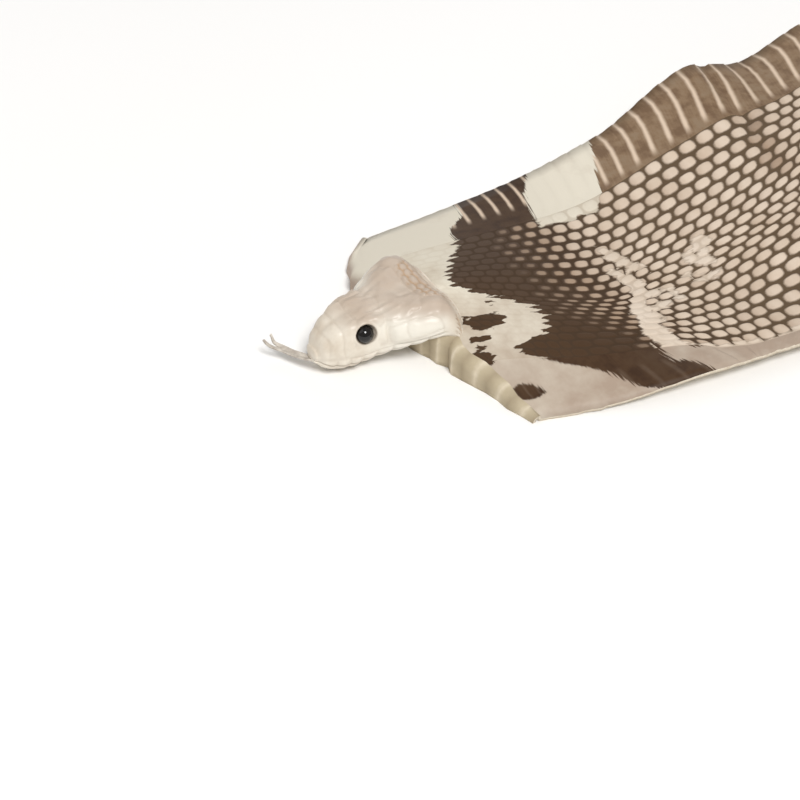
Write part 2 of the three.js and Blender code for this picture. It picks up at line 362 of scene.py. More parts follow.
def side_of(row):
    """The side that a row line lies on, 1 far or -1 near, and its share of the way to the belly plates."""
    line = row - PLATE_ROWS - SCALE_ROWS / 2
    return 1 if line > 0 else -1, abs(line) * 2 / SCALE_ROWS


def across_of(row, mid_station):
    """Across the hide for a row line, which may be a fraction."""
    side, share = side_of(row)
    edge = curved(FAR_SCALES if side > 0 else NEAR_SCALES, mid_station)
    spine = curved(SPINE, mid_station)
    if share <= 1:
        even = levelled(FAR_EVEN if side > 0 else NEAR_EVEN, mid_station)
        return mix(spine, edge, even * share + (1 - even) * share * share)
    return mix(edge, side, (share - 1) * SCALE_ROWS / 2 / PLATE_ROWS)


def lean(row, mid_station):
    """How far back a line of scales across the hide has moved where it meets a row."""
    side, share = side_of(row)
    return curved(FAR_LEAN if side > 0 else NEAR_LEAN, mid_station) * curved(LEAN_GROWTH, share)


def hide_place(column, row, part=0):
    """Station, across and rolled-edge length of a grid point, moved on by a part of a column."""
    at = column - ROLL_COLUMNS - NECK_COLUMNS + part
    if at >= 0:
        i = min(int(at), len(LATTICE) - 2)
        mid_station = mix(LATTICE[i], LATTICE[i + 1], at - i)
        station = min(mid_station + lean(row, mid_station), HIDE_LENGTH)
        return station, across_of(row, mid_station), 0
    neck = max(column - ROLL_COLUMNS + part, 0) / NECK_COLUMNS
    across = across_of(row, mix(-NECK_REACH, NECK_END, neck))
    front = front_station(across) + FRONT_WAVE * noise.noise(Vector((across * FRONT_WAVES, 7, 0)))
    roll_end = front + min(ROLL_RADIUS, max(height(front, across), 1))
    if column >= ROLL_COLUMNS:
        return mix(roll_end, NECK_END + lean(row, NECK_END), neck), across, 0
    high = max(height(roll_end, across), 1)
    radius = min(ROLL_RADIUS, high)
    wall = high - radius + radius * math.pi / 2
    return roll_end, across, wall * (1 - column / ROLL_COLUMNS)


def blot_depth(station, across, blot):
    """Millimetres inside an oval blot, below nothing outside it."""
    place, side, length, width = blot
    out = math.hypot((station - place) / length, (across - side) / width)
    return BLOT_STEEPNESS * length * (1 - out)


def strand_depth(station, across, strand):
    """Millimetres inside a strand, below nothing outside it."""
    begin, side, end, far_side, wide = strand
    half = curved(HALF_WIDTH, station)
    gap = stroke_gap(station - begin, (across - side) * half, end - begin, (far_side - side) * half)
    return wide - gap


def depths(station, across):
    """Millimetres inside the dark places and inside the pale ones, and the share of plain brown."""
    rear = curved(BAND_REAR, across)
    half = curved(HALF_WIDTH, station)
    blots = (blot_depth(station, across, blot) for blot in THROAT_BLOTS)
    dark = max(station - curved(BAND_FRONT, across), *blots)
    jag = PATCH_SIDE + PATCH_RAG * noise.noise(Vector((station / PATCH_BITE, 0, 4)))
    far = min(station - rear + 1, straight(PALE_REAR, across) - station, (across - jag) * half)
    strip_end = NEAR_STRIP[-1][0]
    near = min(station - rear, strip_end - station, (straight(NEAR_STRIP, station) - across) * half)
    pale = max(far, near, -DEEPEST, *(strand_depth(station, across, s) for s in PALE_STRANDS))
    brown = ease(rear + BROWN_FROM, rear + BROWN_TO, station)
    return Vector((min(max(dark, -DEEPEST), DEEPEST), min(pale, DEEPEST), brown))


def spot_of(station, across, draw):
    """How wide the pale middle of a scale is, and how dark that middle is, from 0 to 1."""
    rear = curved(BAND_REAR, across)
    if station < curved(BAND_FRONT, across):
        return -1, 0
    reach = mix(*SPOTS_AHEAD, ease(*SPOTS_TURN, across))
    light = ease(rear - reach, rear + SPOTS_FULL, station + (draw - 0.5) * 4)
    if light < 0.03:
        return -1, 1
    # Behind the sharp fold the middles are a little narrower, and darker as painted shade in the crease
    creased = swell(fold_gap(station, across), 1, 5) * ease(0, 0.2, across)
    wide = mix(*SPOT_WIDTHS, light**0.8) * (1 + (draw - 0.5) * 0.1) * (1 - 0.1 * creased)
    return wide, max(1 - light**0.6, 0.45 * creased)


def throat_relief(station, across):
    """The share of the relief at a place."""
    return mix(THROAT_SHARE, 1, ease(*THROAT_GROWS, station - curved(BAND_FRONT, across)))


def ragged(station, row):
    """Small uneven bites out of the cut edge, about 7 mm and 2 mm long, from 0 to about 1."""
    broad = abs(noise.noise(Vector((station / 7, row, 0))))
    return broad + 0.6 * abs(noise.noise(Vector((station / 2.2, row, 5))))


def grid_number(value, steps):
    """Which column or row of a new grid, from -1 to 1, a value is."""
    return round((value + 1) / 2 * steps)


def grow_hide(bm):
    """A grid with four columns a scale, laid on the underside of the hide."""
    bmesh.ops.create_grid(bm, x_segments=COLUMNS, y_segments=GRID_ROWS, size=1)
    column_of = bm.verts.layers.int.new("column")
    row_of = bm.verts.layers.int.new("row")
    depth_of = bm.verts.layers.float_vector.new("depth")
    for v in bm.verts:
        column = grid_number(v.co.x, COLUMNS)
        row = grid_number(v.co.y, GRID_ROWS)
        v[column_of] = column
        v[row_of] = row
        phase = (column - ROLL_COLUMNS) % PARTS
        wave = 0
        shift = 0
        if column >= ROLL_COLUMNS:
            if PLATE_ROWS < row < GRID_ROWS - PLATE_ROWS:
                below = (row - 1) % 2 * 2
                wave = -ROW_WAVE * math.cos(2 * math.pi * (phase - below) / PARTS)
            elif row not in (PLATE_ROWS, GRID_ROWS - PLATE_ROWS) and column < COLUMNS:
                shift = PLATE_PLACES[phase] * PARTS - phase
        station, across, over = hide_place(column, row + wave, shift)
        if row in (0, GRID_ROWS):
            across *= 1 - EDGE_RAG * ragged(station, row) * ease(0, 12, column - ROLL_COLUMNS)
        v.co = underside(station, across, over)
        v[depth_of] = Vector((-DEEPEST, -DEEPEST, 0)) if over else depths(station, across)
    return column_of, row_of, depth_of


def close_underside(bm, column_of, row_of, low):
    """Walls down from the rim of the scaled side, and a plain underside between them."""
    rim = [e for e in bm.edges if e.is_boundary]
    made = bmesh.ops.extrude_edge_only(bm, edges=rim)["geom"]
    for v in (g for g in made if isinstance(g, bmesh.types.BMVert)):
        v.co = low[v[column_of], v[row_of]]
    walls = [g for g in made if isinstance(g, bmesh.types.BMFace)]
    bands = len(FLESH_STEPS) - 1
    flesh = bmesh.ops.create_grid(bm, x_segments=COLUMNS, y_segments=bands, size=1)["verts"]
    faces = {f for v in flesh for f in v.link_faces}
    for v in flesh:
        column = grid_number(v.co.x, COLUMNS)
        row = FLESH_STEPS[grid_number(v.co.y, bands)]
        v[column_of] = column
        v[row_of] = row
        v.co = low[column, row]
    bmesh.ops.reverse_faces(bm, faces=list(faces))
    for f in [*walls, *faces]:
        f.material_index = 2
    bmesh.ops.remove_doubles(bm, verts=[v for v in bm.verts if v.is_boundary], dist=0.001)
    bmesh.ops.holes_fill(bm, edges=[e for e in bm.edges if e.is_boundary], sides=0)


# Rings of a scale: how far out each lies, and the share of the relief it stands at
FINE_RINGS = ((0.93, 0.2), (0.78, 0.8), (0.48, 1))
COARSE_RINGS = ((0.84, 0.7),)
# How round a scale is, from 2 for an oval, and how much higher its rear end stands than its middle
ROUNDNESS = 2.8
SCALE_TILT = 0.25
# A ring is inset by this before its corners are placed, and stays this share inside the scale's edge
RING_INSET = 0.05
RING_SHARE = 0.98


def end_of(face, layer, end):
    """The middle of the corners of a face whose number in a layer is the lowest, or the highest."""
    limit = end(v[layer] for v in face.verts)
    points = [v.co for v in face.verts if v[layer] == limit]
    return sum(points, Vector((0, 0, 0))) / len(points)


class ScaleCell:
    """One scale: its corners, its own directions along and across the surface, and what colours it."""

    def __init__(self, face, layers, rings, relief, depth, draw):
        column_of, row_of, depth_of = layers
        self.rings = rings
        self.relief = relief
        self.draw = draw
        self.middle = face.calc_center_median()
        self.normal = face.normal.copy()
        self.corners = [v.co.copy() for v in face.verts]
        self.depths = [v[depth_of].copy() for v in face.verts]
        self.depth = depth
        along = (end_of(face, column_of, max) - end_of(face, column_of, min)) / 2
        aside = (end_of(face, row_of, max) - end_of(face, row_of, min)) / 2
        self.along = aside.cross(self.normal) / along.dot(aside.cross(self.normal))
        self.aside = self.normal.cross(along) / aside.dot(self.normal.cross(along))

    def local(self, point):
        """Where a point lies on the scale, from -1 to 1 along and across it."""
        gap = point - self.middle
        return gap.dot(self.along), gap.dot(self.aside)


def raise_scales(bm, cells, relief, depth_of, uv, marking):
    """Insets each cell ring by ring, rounds each ring into an oval and lifts it."""
    for ring in range(len(FINE_RINGS)):
        faces = [f for f, cell in cells.items() if ring < len(cell.rings)]
        bmesh.ops.inset_individual(bm, faces=faces, thickness=RING_INSET, depth=0)
        for f in faces:
            cell = cells[f]
            reach, lift = cell.rings[ring]
            for v, corner, depth in zip(f.verts, cell.corners, cell.depths):
                u, w = cell.local(corner)
                out = (abs(u) ** ROUNDNESS + abs(w) ** ROUNDNESS) ** (1 / ROUNDNESS)
                share = min(reach / out, RING_SHARE)
                tilt = 1 + SCALE_TILT * u * share
                v.co = cell.middle.lerp(corner, share) + cell.normal * relief * cell.relief * lift * tilt
                v[depth_of] = cell.depth.lerp(depth, share)
            for g in {g for e in f.edges for g in e.link_faces}:
                g.material_index = 0
                for loop in g.loops:
                    loop[uv].uv = cell.local(loop.vert.co)
                    loop[marking] = cell.draw


def paint_plate(f, layers, uv, marking, draw):
    """Sets how far in and how far along its plate each corner of a belly plate's face lies."""
    column_of, row_of, _ = layers
    column = min(v[column_of] for v in f.verts)
    rolled = column < ROLL_COLUMNS
    f.material_index = 1
    start = ROLL_COLUMNS + (column - ROLL_COLUMNS) // PARTS * PARTS
    station, across, _ = hide_place(max(column, ROLL_COLUMNS), min(v[row_of] for v in f.verts))
    lined = 1 if across > 0 or station > NEAR_LINES else FAINT_LINE
    for loop in f.loops:
        line = loop.vert[row_of]
        inward = (line if line < GRID_ROWS / 2 else GRID_ROWS - line) / PLATE_ROWS
        step = loop.vert[column_of] - start
        along = step / PARTS if inward == 1 or step == PARTS else PLATE_PLACES[step]
        loop[uv].uv = (inward, 0.5 if rolled else along)
        # The far half of the folded edge is marked for painted shade, which fades out up the wall
        shaded = 1 - ease(*SHADE_ENDS, loop.vert[column_of]) if across > 0 else 0
        loop[marking] = (shaded, lined, draw, 1 if rolled and across < 0 else 0)


def crease_front(bm, column_of, row_of):
    """Sharp edges where the near half of the front edge is folded down and along its folds."""
    for e in bm.edges:
        a, b = e.verts
        near = max(a[row_of], b[row_of]) < GRID_ROWS / 2
        rolled = max(a[column_of], b[column_of]) <= ROLL_COLUMNS
        rim = min(a[column_of], b[column_of]) == ROLL_COLUMNS
        e.smooth = not (near and rolled and (rim or a[row_of] == b[row_of]))


def lift_surface(bm, layers, relief):
    """Lifts the grid by the leather's thickness, the belly plates' rise and the folds of the near wall."""
    column_of, row_of, _ = layers
    bm.normal_update()
    for v in bm.verts:
        column, row = v[column_of], v[row_of]
        rise = THICK
        on_plate = row < PLATE_ROWS or row > GRID_ROWS - PLATE_ROWS
        if column >= ROLL_COLUMNS and on_plate:
            station, across, _ = hide_place(column, row)
            rise += PLATE_RISE[(column - ROLL_COLUMNS) % PARTS] * relief * throat_relief(station, across)
        if column < ROLL_COLUMNS and row < GRID_ROWS / 2:
            lap = WALL_FOLD * (0.6 + 0.8 * noise.noise(Vector((row * 0.9, 2, 0))))
            rise += lap * (row % 2) * min(1, 2 - 2 * column / ROLL_COLUMNS)
        v.co += v.normal * rise
        v.co.z = max(v.co.z, LOWEST_TOP)


def part_scales(bm, layers, cell_of, uv, marking, plate_draws):
    """Joins the faces of each scale and paints the belly plates. Gives where each scale starts."""
    column_of, row_of, _ = layers
    starts = {}
    for f in bm.faces:
        column = min(v[column_of] for v in f.verts)
        row = min(v[row_of] for v in f.verts)
        if column >= ROLL_COLUMNS and PLATE_ROWS <= row < GRID_ROWS - PLATE_ROWS:
            offset = row % 2 * 2
            number = (column - ROLL_COLUMNS + offset) // PARTS
            f[cell_of] = 1 + number * GRID_ROWS + row
            starts[f[cell_of]] = (ROLL_COLUMNS + number * PARTS - offset, row)
        else:
            paint_plate(f, layers, uv, marking, plate_draws[(column - ROLL_COLUMNS) // PARTS])
    inner = []
    for e in bm.edges:
        ids = {f[cell_of] for f in e.link_faces}
        if len(e.link_faces) == 2 and len(ids) == 1 and 0 not in ids:
            inner.append(e)
    bmesh.ops.dissolve_edges(bm, edges=inner, use_verts=False)
    return starts


def make_hide(settings):
    """The hide in millimetres: raised scales and belly plates over a plain underside."""
    relief = settings.relief / MM
    draws = random.Random(settings.seed)
    bm = bmesh.new()
    layers = grow_hide(bm)
    column_of, row_of, depth_of = layers
    low = {(v[column_of], v[row_of]): v.co.copy() for v in bm.verts}
    lift_surface(bm, layers, relief)
    uv = bm.loops.layers.uv.new("scale")
    marking = bm.loops.layers.float_color.new("marking")
    cell_of = bm.faces.layers.int.new("cell")
    plate_draws = [draws.random() for _ in range(COLUMNS)]
    starts = part_scales(bm, layers, cell_of, uv, marking, plate_draws)
    crease_front(bm, column_of, row_of)
    close_underside(bm, column_of, row_of, low)
    bm.normal_update()
    cells = {}
    for f in bm.faces:
        if f[cell_of] and f.material_index != 2:
            first, row = starts[f[cell_of]]
            station, across, _ = hide_place(min(max(first + 2, ROLL_COLUMNS), COLUMNS), row + 0.5)
            wide, tone = spot_of(station, across, draws.random())
            rings = FINE_RINGS if first < FINE_SCALES * PARTS else COARSE_RINGS
            smooth = throat_relief(station, across)
            depth = depths(station, across)
            far = 1 if across > FAR_PATCH else 0
            cells[f] = ScaleCell(f, layers, rings, smooth, depth, (wide, tone, draws.random(), far))
    raise_scales(bm, cells, relief, depth_of, uv, marking)
    return bm


# The head, in millimetres from the snout tip
HEAD_LENGTH = 44
NAPE = 1
HEAD_TURN = math.radians(1)
HEAD_SIDES = 216
HEAD_RINGS = 170
# The share of its rings that close each end, and how far the two ends stand out
HEAD_CAP = 0.05
SNOUT_OUT = -0.8
NAPE_OUT = 1
# Height of the widest line of a section, and how square the section is above and below it
WAIST = 0.42
SQUARE_ABOVE = 2.7
SQUARE_BELOW = 2.2
EYE_PLACE = (14.2, 7.6, 14.2)
EYE_AXIS = (0, 0.902, 0.431)
NOSTRIL = (3.6, 4.6, 10.2)
HEAD_HALF = (
    (0, 3.2), (2, 5.4), (5, 7.2), (10, 8.8), (15, 9.6), (20, 11.4), (28, 15.8), (35, 18.4), (41, 18.6),
    (44, 16),
)
HEAD_TOP = (
    (0, 9.5), (2, 13), (5, 15.8), (10, 17.8), (15, 19), (20, 19.6), (31, 21.2), (39, 21.6), (44, 17.5),
)
HEAD_BOTTOM = ((0, 4.4), (2, 2.6), (5, 1.2), (10, 0.8), (16, 1.6), (26, 5), (36, 8.2), (44, 10.5))
# Brow, temple and the dip of the nape: rise, distance back and its half, angle up the side and its half
BULGES = ((1.5, 13.5, 6, 0.95, 0.28), (1.3, 33, 7, 0.95, 0.3), (-1.6, 38, 8, math.pi / 2, 0.3))
# The flap of skin at the rear of the jaw: distance back, turn from the crown, and how far out and down
JAW_BACK = (43.5, 4.5)
JAW_TURN = (1.2, 0.42)
JAW_OUT = 3.2
JAW_DOWN = 4.6
# Seams between the head's shields: distance from the snout, and turn from the crown (1 is the side)
SHIELD_SEAMS = (
    ((3, 0), (3.6, 0.5), (3, 0.9)),
    ((3, 0), (13, 0)),
    ((7.5, 0), (7.6, 0.6), (7, 0.85)),
    ((12.2, 0), (12.8, 0.28), (11.6, 0.6), (10.5, 0.85)),
    ((12.8, 0.28), (17, 0.27), (20.5, 0.22), (22.5, 0)),
    ((20.5, 0.22), (20.8, 0.5), (18, 0.62)),
    ((22.5, 0), (33.5, 0)),
    ((20.8, 0.5), (26, 0.52), (31, 0.44), (34, 0.22), (33.5, 0)),
    ((21.5, 0.66), (20.3, 0.82), (21.5, 1.0)),
    ((21.5, 0.66), (27, 0.6), (33, 0.6), (35.5, 0.72), (36, 0.95)),
    ((26, 0.62), (25.4, 0.8), (26, 0.96)),
    ((22, 0.97), (29, 0.97), (35.5, 0.93)),
    ((7, 0.85), (7.5, 1.05)),
    ((18.3, 0.98), (21.5, 1.0), (28, 1.05), (36, 1.02)),
)
LIP_TOP = ((2, 1.0), (8, 1.02), (14, 1.1), (20, 1.06), (36, 1.06))
LIP_SEAMS = (5, 9, 13, 17.5, 22, 27, 32)
MOUTH = ((0, 1.2), (4, 1.27), (14, 1.3), (24, 1.24), (34, 1.2))
PILLOW_RISE = 0.34
PILLOW_REACH = 1.5
PILLOW_GIRTH = 1.45
SEAM_HALF = 0.38
SEAM_DEPTH = 0.18
SLIT_HALF = 0.45
SLIT_DEPTH = 0.9
SLIT_ENDS = (33, 36)
LIPS_END = 1.55
# The pad of the cheek and the groove ahead of it: their turns, the pad's distances back, and the groove's
CHEEK_TURNS = (0.42, 0.56, 0.96, 1.04)
PAD_BACK = (21.2, 22.6, 34.5, 38)
PAD_RISE = 0.8
GROOVE_BACK = (20.7, 0.7)
GROOVE_DEPTH = 0.5
BEADS_FROM = 36
# Where the nape's beads begin, by turn from the crown
BEADS_BEGIN = ((0, 34), (0.22, 34.5), (0.36, 42.5), (0.55, 42), (0.7, 40.5), (0.95, 39.5))
BEAD_LENGTH = 2.6
BEAD_WIDTH = 3.0
BEAD_GIRTH = 1.2
BEAD_ROUNDNESS = 2.4
BEAD_RISE = 0.75
# Round the eye, in millimetres from its middle: where the shields fade, the lid's rim, its dark line and
# the socket, which is sunk
LID_REACH = (3.4, 5)
LID_RIM = (3.6, 0.4)
LID_RISE = 0.35
LID_LINE = (3.1, 0.25)
SOCKET = (2.75, 3.15)
SOCKET_SUNK = 0.4
NOSTRIL_HALF = 0.7
NOSTRIL_DEPTH = 0.7


def head_frame():
    """Where the head's own frame lies in the hide's."""
    neck = middle(0) - ORIGIN
    turn = Matrix.Rotation(HEAD_TURN, 4, "Z")
    return Matrix.Translation((neck.x, neck.y, 0)) @ turn @ Matrix.Translation((-HEAD_LENGTH - NAPE, 0, 0))


def turn_of(angle):
    """How far an angle lies from the crown: 1 is the side and 2 is below."""
    turn = abs(angle - math.pi / 2)
    return (2 * math.pi - turn if turn > math.pi else turn) / (math.pi / 2)


def head_point(back, angle):
    """A point on the head, so far behind the snout tip and at an angle from the far side over the crown."""
    half = curved(HEAD_HALF, back)
    top = curved(HEAD_TOP, back)
    bottom = curved(HEAD_BOTTOM, back)
    waist = bottom + WAIST * (top - bottom)
    c, s = math.cos(angle), math.sin(angle)
    power = 2 / (SQUARE_ABOVE if s > 0 else SQUARE_BELOW)
    side = abs(math.asin(max(-1, min(1, s))))
    lift = 0
    for rise, place, run, up, spread in BULGES if s > 0 else ():
        lift += rise * swell(back, place, run) * swell(side, up, spread)
    y = half * math.copysign(abs(c) ** power, c) + lift * c
    z = waist + (top - waist if s > 0 else waist - bottom) * math.copysign(abs(s) ** power, s)
    jaw = swell(back, *JAW_BACK) * swell(turn_of(angle), *JAW_TURN)
    return Vector((back, y + JAW_OUT * jaw * math.copysign(1, y), z + lift * abs(s) - JAW_DOWN * jaw))


def seam_gap(back, turn, radius, seam):
    """Distance in millimetres from a point of the head to a seam."""
    return min(
        stroke_gap(back - start, turn * radius - low * radius, end - start, high * radius - low * radius)
        for (start, low), (end, high) in zip(seam, seam[1:])
    )


def head_relief(back, angle):
    """Rise of the shields over the plain head, and how much of a seam shows there, with painted shade in
    the mouth slit and the groove ahead of the cheek.
    """
    turn = turn_of(angle)
    radius = curved(HEAD_HALF, back) * PILLOW_GIRTH
    gap = min(seam_gap(back, turn, radius, seam) for seam in SHIELD_SEAMS)
    lip = curved(LIP_TOP, back)
    mouth = curved(MOUTH, back)
    if back < BEADS_FROM:
        gap = min(gap, abs(turn - lip) * radius)
        if lip < turn < mouth or mouth < turn < LIPS_END:
            gap = min(gap, min(abs(back - place) for place in LIP_SEAMS))
        gap = min(gap, abs(turn - LIPS_END) * radius + 0.3)
    seam = swell(gap, 0, SEAM_HALF)
    rise = PILLOW_RISE * (1 - swell(gap, 0, PILLOW_REACH)) - SEAM_DEPTH * seam
    slit = swell(abs(turn - mouth) * radius, 0, SLIT_HALF) * (1 - ease(*SLIT_ENDS, back))
    cheek = plateau(CHEEK_TURNS, turn)
    pad = plateau(PAD_BACK, back) * cheek
    groove = swell(back, *GROOVE_BACK) * cheek
    rise = rise - SLIT_DEPTH * slit + PAD_RISE * pad - GROOVE_DEPTH * groove
    return rise, max(seam * 0.6, slit, groove * 0.5)


def head_beads(back, angle):
    """The nape's small bead scales: rise, how much skin shows between them, how far they have begun."""
    turn = turn_of(angle)
    first = straight(BEADS_BEGIN, turn)
    begun = ease(first - 0.6, first + 0.6, back)
    if begun == 0:
        return 0, 0, 0
    radius = curved(HEAD_HALF, back) * BEAD_GIRTH
    row = (back - BEADS_FROM) / BEAD_LENGTH
    at = angle * radius / BEAD_WIDTH + 0.5 * (math.floor(row) % 2)
    u, v = row % 1 - 0.5, at % 1 - 0.5
    edge = (abs(2 * u) ** BEAD_ROUNDNESS + abs(2 * v) ** BEAD_ROUNDNESS) ** (1 / BEAD_ROUNDNESS)
    # The skin between the beads is clearest on the crown, and clean at the very end
    skin = ease(0.76, 1.02, edge) * mix(0.8, 0.6, ease(0.3, 0.8, turn)) * (1 - ease(43.4, 44, back))
    return BEAD_RISE * (1 - min(edge, 1) ** 2.5) - 0.15, skin, begun


def sided(place, point):
    """A place that is given for the far side, on the side of the head where a point lies."""
    return Vector((place[0], math.copysign(place[1], point.y), place[2]))


def eye_gap(point):
    """The way out of the head at the eye, and how far out of and beside the eye's middle a point lies."""
    axis = sided(EYE_AXIS, point)
    gap = point - sided(EYE_PLACE, point)
    out = gap.dot(axis)
    beside = (gap - axis * out).length
    return axis, out, beside if out > -0.5 else 99


def make_head():
    """The stuffed head in millimetres: a sphere's rings drawn out to its form, with its relief."""
    bm = bmesh.new()
    bmesh.ops.create_uvsphere(bm, u_segments=HEAD_SIDES, v_segments=HEAD_RINGS, radius=1)
    tone_of = bm.verts.layers.float_vector.new("seam")
    for v in bm.verts:
        share = math.acos(max(-1, min(1, v.co.z))) / math.pi
        angle = math.atan2(v.co.y, v.co.x)
        back = HEAD_LENGTH * min(max((share - HEAD_CAP) / (1 - 2 * HEAD_CAP), 0), 1) ** 1.1
        cap = 1
        reach = 0
        if share < HEAD_CAP:
            cap = math.sin(share / HEAD_CAP * math.pi / 2)
            reach = SNOUT_OUT * math.cos(share / HEAD_CAP * math.pi / 2)
        elif share > 1 - HEAD_CAP:
            cap = math.sin((1 - share) / HEAD_CAP * math.pi / 2)
            reach = NAPE_OUT * math.cos((1 - share) / HEAD_CAP * math.pi / 2)
        point = head_point(back, angle)
        heart = Vector((back, 0, (curved(HEAD_TOP, back) + curved(HEAD_BOTTOM, back)) / 2))
        axis, out, beside = eye_gap(point)
        lid = 1 - ease(*LID_REACH, beside)
        rise, seam = head_relief(back, angle)
        # The crown is worn in shallow dents 7 mm and 2.5 mm wide, and wrinkled lengthways
        wear_and_sheen = noise.noise(point * 0.15) * 0.8 + noise.noise(point * 0.4) * 0.35
        wrinkle = abs(noise.noise(Vector((back * 0.1, point.y * 0.4, 3))))
        crown = ease(8, 18, back) * (1 - ease(0.5, 0.75, turn_of(angle)))
        rise += (1.1 * wear_and_sheen - 0.9 * wrinkle) * crown
        bead, gap, begun = head_beads(back, angle)
        nose = swell((point - sided(NOSTRIL, point)).length, 0, NOSTRIL_HALF)
        point += (point - heart).normalized() * (mix(rise * (1 - lid), bead, begun) - NOSTRIL_DEPTH * nose)
        sunk = (out + SOCKET_SUNK) * (1 - ease(*SOCKET, beside))
        point += axis * (LID_RISE * swell(beside, *LID_RIM) - sunk)
        v.co = heart.lerp(point, cap)
        v.co.x += reach
        # The seam tone: shield seams, and painted shade in the nostrils, mouth slit and cheek groove
        v[tone_of] = (max(seam * (1 - begun) * (1 - lid), nose), gap * begun, swell(beside, *LID_LINE))
    bmesh.ops.transform(bm, matrix=head_frame(), verts=bm.verts)
    return bm


def make_eye(node):
    """A glass eye where its solid is."""
    low, high = (Vector(corner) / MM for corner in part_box(node))
    bm = bmesh.new()
    bmesh.ops.create_uvsphere(bm, u_segments=64, v_segments=32, radius=(high.x - low.x) / 2)
    bmesh.ops.translate(bm, vec=(low + high) / 2, verts=bm.verts)
    return bm


# The tongue's route in the head's frame, its section and its fork
TONGUE_ROUTE = (
    (6, -0.5, 5.6), (0.5, 0, 5), (-2.8, 5.6, 4), (-4.8, 9.7, 4), (-7.2, 12.9, 5), (-7.9, 15, 6.8),
)
TONGUE_HALF = 1.5
TONGUE_THICK = 0.7
PRONG_HALF = 0.9
PRONG_SPREAD = 1.8
FORK_AT = 0.6


def along_route(share):
    """Point and direction on a smooth curve through the tongue's route."""
    points = [Vector(p) for p in TONGUE_ROUTE]
    last = len(points) - 1
    at = share * last
    i = min(int(at), last - 1)
    f = at - i
    before = points[i - 1] if i else points[0] * 2 - points[1]
    after = points[i + 2] if i + 2 <= last else points[last] * 2 - points[last - 1]
    a, b = points[i], points[i + 1]
    bend = 2 * before - 5 * a + 4 * b - after
    twist = 3 * a - before - 3 * b + after
    place = 0.5 * (2 * a + (b - before) * f + bend * f**2 + twist * f**3)
    ahead = 0.5 * ((b - before) + bend * 2 * f + twist * 3 * f**2)
    return place, ahead.normalized()


def make_tongue():
    """The tongue in millimetres: two prongs that run side by side up to the fork."""
    bm = bmesh.new()
    for prong in (-1, 1):
        made = bmesh.ops.create_grid(bm, x_segments=60, y_segments=6, size=1)["verts"]
        for v in made:
            share = (v.co.x + 1) / 2
            wide = (v.co.y + 1) / 2
            place, ahead = along_route(share)
            side = Vector((-ahead.y, ahead.x, 0)).normalized()
            up = ahead.cross(side)
            past = max(share - FORK_AT, 0) / (1 - FORK_AT)
            half = TONGUE_HALF * (1 - 0.35 * past)
            width = mix(half, PRONG_HALF * (1.7 - 1.1 * past), ease(0, 0.15, past))
            off = prong * (PRONG_SPREAD * past * 0.75 + wide * width)
            trough = 0.5 * wide * wide * (1 - past)
            v.co = place + side * off + up * (trough - TONGUE_THICK / 2)
        if prong < 0:
            bmesh.ops.reverse_faces(bm, faces=list({f for v in made for f in v.link_faces}))
    bmesh.ops.remove_doubles(bm, verts=bm.verts, dist=0.01)
    bmesh.ops.recalc_face_normals(bm, faces=bm.faces)
    bmesh.ops.solidify(bm, geom=list(bm.faces), thickness=TONGUE_THICK)
    bmesh.ops.transform(bm, matrix=head_frame(), verts=bm.verts)
    return bm


def linear(colour):
    """A colour as linear values from its sRGB hex text."""
    values = [int(colour[i:i + 2], 16) / 255 for i in (1, 3, 5)]
    return [*(v / 12.92 if v <= 0.04045 else ((v + 0.055) / 1.055) ** 2.4 for v in values), 1]


# What stands for a node where no output is named, if that isn't its first output
MAIN_OUTPUTS = {"ShaderNodeMix": 2, "ShaderNodeTexCoord": "Object"}
SMOOTH = {"interpolation_type": "SMOOTHSTEP"}


def feed(node, inputs):
    """Sets inputs of a node: each is a value, another node, or another node and the name of its output."""
    for socket, value in inputs.items():
        source, output = value if isinstance(value, tuple) and len(value) == 2 else (value, None)
        if isinstance(source, bpy.types.Node):
            output = output or MAIN_OUTPUTS.get(source.bl_idname, 0)
            node.id_data.links.new(source.outputs[output], node.inputs[socket])
        else:
            node.inputs[socket].default_value = value


def add_node(tree, kind, inputs=None, stops=(), **settings):
    """Adds a node with its settings, its inputs and, for a colour ramp, its stops."""
    node = tree.nodes.new("ShaderNode" + kind)
    for name, value in settings.items():
        setattr(node, name, value)
    feed(node, inputs or {})
    if stops:
        elements = node.color_ramp.elements
        while len(elements) < len(stops):
            elements.new(0.5)
        for element, (place, colour) in zip(elements, stops):
            element.position = place
            element.color = colour
    return node


def calculate(add, operation, *values):
    """The result of an operation on up to three values."""
    return add("Math", dict(enumerate(values)), operation=operation)


def blend(add, share, under, over, **settings):
    """A share of one colour over another. Inputs 6 and 7 of a mix are its colours."""
    return add("Mix", {0: share, 6: under, 7: over}, data_type="RGBA", **settings)


def new_material(name):
    """A new material, what adds a node to it, and its shader."""
    material = bpy.data.materials.new(name)
    material.use_nodes = True
    tree = material.node_tree
    return material, partial(add_node, tree), tree.nodes["Principled BSDF"]


def hide_marks(add):
    """What the hide tells its materials: Object coordinates, a cell's marking, its parts, how deep a place
    lies in the markings, and where it lies on its scale or plate."""
    marking = add("Attribute", attribute_name="marking")
    depth = add("Attribute", attribute_name="depth")
    return (
        add("TexCoord"),
        marking,
        add("SeparateColor", {"Color": marking}),
        add("SeparateXYZ", {"Vector": (depth, "Vector")}),
        add("SeparateXYZ", {"Vector": add("UVMap", uv_map="scale")}),
    )


def leather_grain(add, coords, grains, strength):
    """A bump of leather grain, so many grains to a millimetre: really ten, but drawn coarser, to show."""
    grain = add("TexNoise", {"Vector": coords, "Scale": grains / MM, "Detail": 3, "Roughness": 0.6})
    return add("Bump", {"Height": grain, "Strength": strength, "Distance": 0.1 * MM})


